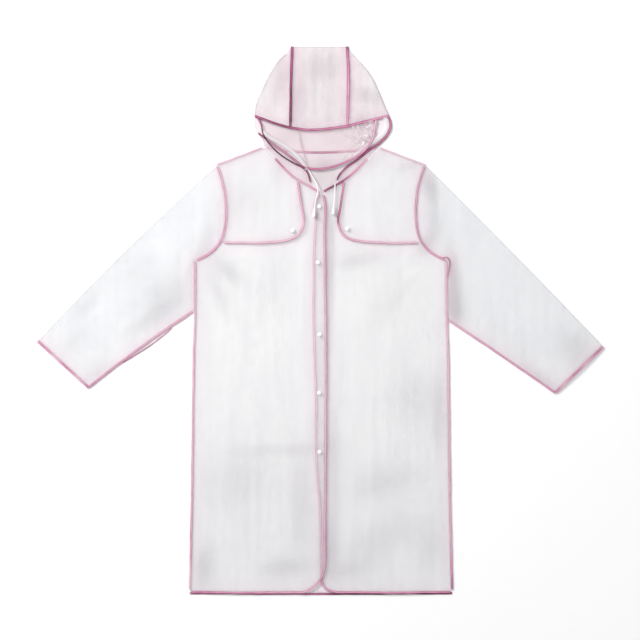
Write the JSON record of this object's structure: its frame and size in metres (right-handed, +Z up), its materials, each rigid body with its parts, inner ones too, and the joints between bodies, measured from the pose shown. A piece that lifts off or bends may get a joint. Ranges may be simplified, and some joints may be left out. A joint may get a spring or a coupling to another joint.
{
  "type": "hooded raincoat",
  "caption": "Long hooded raincoat of translucent frosted film with pink bound seams, storm flaps, a snap placket and a drawcord hood with a clear visor, laid flat on its back.",
  "frame": {"origin": "middle of the whole outline, on the surface that the coat lies on", "axes": "+X to the wearer's left, across the sleeves; +Y from hem to hood; +Z up from the surface"},
  "size_m": [1.2768, 1.2334, 0.0148],
  "materials": {
    "frosted_film": "frosted translucent film, soft sheen, fine crumple",
    "hood_film": "frosted translucent film, faintly pink from its own binding",
    "clear_film": "clear glossy film, crinkled",
    "pink_tape": "glossy pink binding tape",
    "white_plastic": "white moulded plastic",
    "white_cord": "white braided cord"
  },
  "bodies": {
    "root": {"back": "frosted_film", "cord_end_left": "white_plastic", "cord_end_right": "white_plastic", "drawcord_left": "white_cord", "drawcord_right": "white_cord", "front_left": "frosted_film", "front_right": "frosted_film", "hood_back_left": "hood_film", "hood_back_right": "hood_film", "hood_centre": "hood_film", "hood_cheek_left": "hood_film", "hood_cheek_right": "hood_film", "hood_side_left": "hood_film", "hood_side_right": "hood_film", "sleeve_left": "frosted_film", "sleeve_right": "frosted_film", "snap_1": "white_plastic", "snap_2": "white_plastic", "snap_3": "white_plastic", "snap_4": "white_plastic", "snap_5": "white_plastic", "snap_yoke_left": "white_plastic", "snap_yoke_right": "white_plastic", "tape_armhole_back_left": "pink_tape", "tape_armhole_back_right": "pink_tape", "tape_armhole_left": "pink_tape", "tape_armhole_right": "pink_tape", "tape_back_hem": "pink_tape", "tape_back_neck": "pink_tape", "tape_cuff_left": "pink_tape", "tape_cuff_right": "pink_tape", "tape_face_left": "pink_tape", "tape_face_right": "pink_tape", "tape_forehead": "pink_tape", "tape_front_left": "pink_tape", "tape_front_right": "pink_tape", "tape_hood_left": "pink_tape", "tape_hood_right": "pink_tape", "tape_neck_left": "pink_tape", "tape_neck_right": "pink_tape", "tape_shoulder_left": "pink_tape", "tape_shoulder_right": "pink_tape", "tape_side_left": "pink_tape", "tape_side_right": "pink_tape", "tape_underarm_left": "pink_tape", "tape_underarm_right": "pink_tape", "tape_visor": "pink_tape", "tape_yoke_left": "pink_tape", "tape_yoke_right": "pink_tape", "visor": "clear_film", "yoke_left": "frosted_film", "yoke_right": "frosted_film"}
  },
  "joints": []
}
